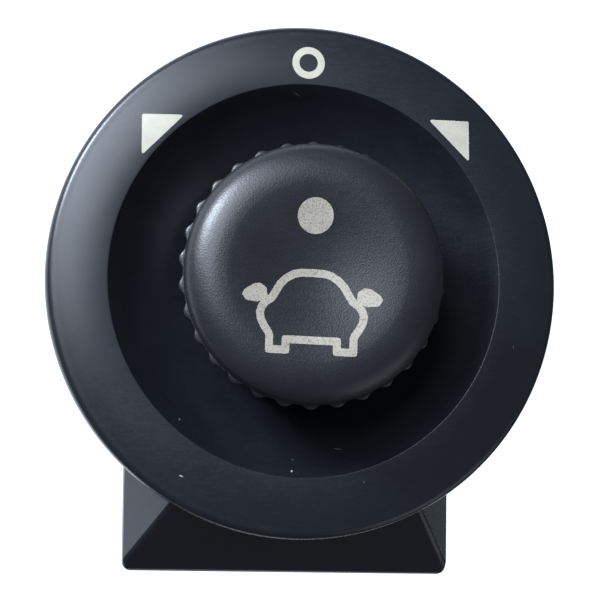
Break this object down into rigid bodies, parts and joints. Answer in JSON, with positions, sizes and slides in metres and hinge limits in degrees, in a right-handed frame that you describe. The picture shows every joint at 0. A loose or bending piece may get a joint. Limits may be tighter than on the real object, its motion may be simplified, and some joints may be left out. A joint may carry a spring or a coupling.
{
  "type": "car mirror adjustment switch",
  "caption": "Panel-mounted car mirror switch: a ribbed selector knob that turns and tilts in the well of a round bezel, over a bevelled foot and a snap-in rear body.",
  "frame": {"origin": "on the knob's axis, in the flat rear face of the rear cover", "axes": "+Z along the knob's axis out of the panel, +Y towards the zero mark, +X to the right as seen from the front"},
  "size_m": [0.04, 0.0425, 0.0384],
  "materials": {
    "black_plastic": "satin",
    "knob_plastic": "satin",
    "legend_print": "matte",
    "natural_plastic": "satin",
    "board_laminate": "satin",
    "silicone": "matte",
    "spring_steel": "satin",
    "contact_metal": "satin"
  },
  "bodies": {
    "base": {"bezel": "black_plastic", "housing": "black_plastic", "rear_cover": "black_plastic", "circuit_board": "board_laminate", "dome_mat": "silicone", "guide_deck": "natural_plastic", "centring_spring": "spring_steel", "detent_spring_1": "spring_steel", "detent_spring_2": "spring_steel", "terminal_1": "contact_metal", "terminal_2": "contact_metal", "terminal_3": "contact_metal", "terminal_4": "contact_metal", "terminal_5": "contact_metal", "terminal_6": "contact_metal", "terminal_7": "contact_metal", "terminal_8": "contact_metal"},
    "gimbal": {"gimbal_ring": "natural_plastic"},
    "swash": {"swash_plate": "natural_plastic"},
    "knob": {"stem": "natural_plastic", "knob_grip": "knob_plastic", "knob_cap": "knob_plastic"},
    "rotor": {"selector_rotor": "natural_plastic", "wiper_contact": "contact_metal"},
    "right_plunger": {"plunger_right": "natural_plastic"},
    "up_plunger": {"plunger_up": "natural_plastic"},
    "left_plunger": {"plunger_left": "natural_plastic"},
    "down_plunger": {"plunger_down": "natural_plastic"}
  },
  "joints": [
    {"name": "tilt_left_right", "type": "hinge", "parent": "base", "child": "gimbal", "pos_m": [0, 0, 0.0253], "axis": [0, 1, 0], "range_deg": [-4, 4], "stiffness_Nm_per_rad": 0.15, "deforming": ["centring_spring"]},
    {"name": "tilt_up_down", "type": "hinge", "parent": "gimbal", "child": "swash", "pos_m": [0, 0, 0.0253], "axis": [1, 0, 0], "range_deg": [-4, 4], "stiffness_Nm_per_rad": 0.15},
    {"name": "knob_turn", "type": "hinge", "parent": "swash", "child": "knob", "pos_m": [0, 0, 0.0253], "axis": [0, 0, 1], "range_deg": [-45, 45]},
    {"name": "rotor_turn", "type": "hinge", "parent": "base", "child": "rotor", "pos_m": [0, 0, 0.0189], "axis": [0, 0, 1], "range_deg": [-45, 45], "deforming": ["detent_spring_1", "detent_spring_2"]},
    {"name": "plunger_right_travel", "type": "slide", "parent": "base", "child": "right_plunger", "axis": [0, 0, 1], "range_m": [-0.0004, 0.0004], "deforming": ["dome_mat"]},
    {"name": "plunger_up_travel", "type": "slide", "parent": "base", "child": "up_plunger", "axis": [0, 0, 1], "range_m": [-0.0004, 0.0004]},
    {"name": "plunger_left_travel", "type": "slide", "parent": "base", "child": "left_plunger", "axis": [0, 0, 1], "range_m": [-0.0004, 0.0004]},
    {"name": "plunger_down_travel", "type": "slide", "parent": "base", "child": "down_plunger", "axis": [0, 0, 1], "range_m": [-0.0004, 0.0004]}
  ],
  "couplings": [
    {"joint": "rotor_turn", "follows": "knob_turn", "ratio": 1},
    {"joint": "plunger_right_travel", "follows": "tilt_left_right", "m_per_rad": -0.0054},
    {"joint": "plunger_left_travel", "follows": "tilt_left_right", "m_per_rad": 0.0054},
    {"joint": "plunger_up_travel", "follows": "tilt_up_down", "m_per_rad": 0.0054},
    {"joint": "plunger_down_travel", "follows": "tilt_up_down", "m_per_rad": -0.0054}
  ]
}
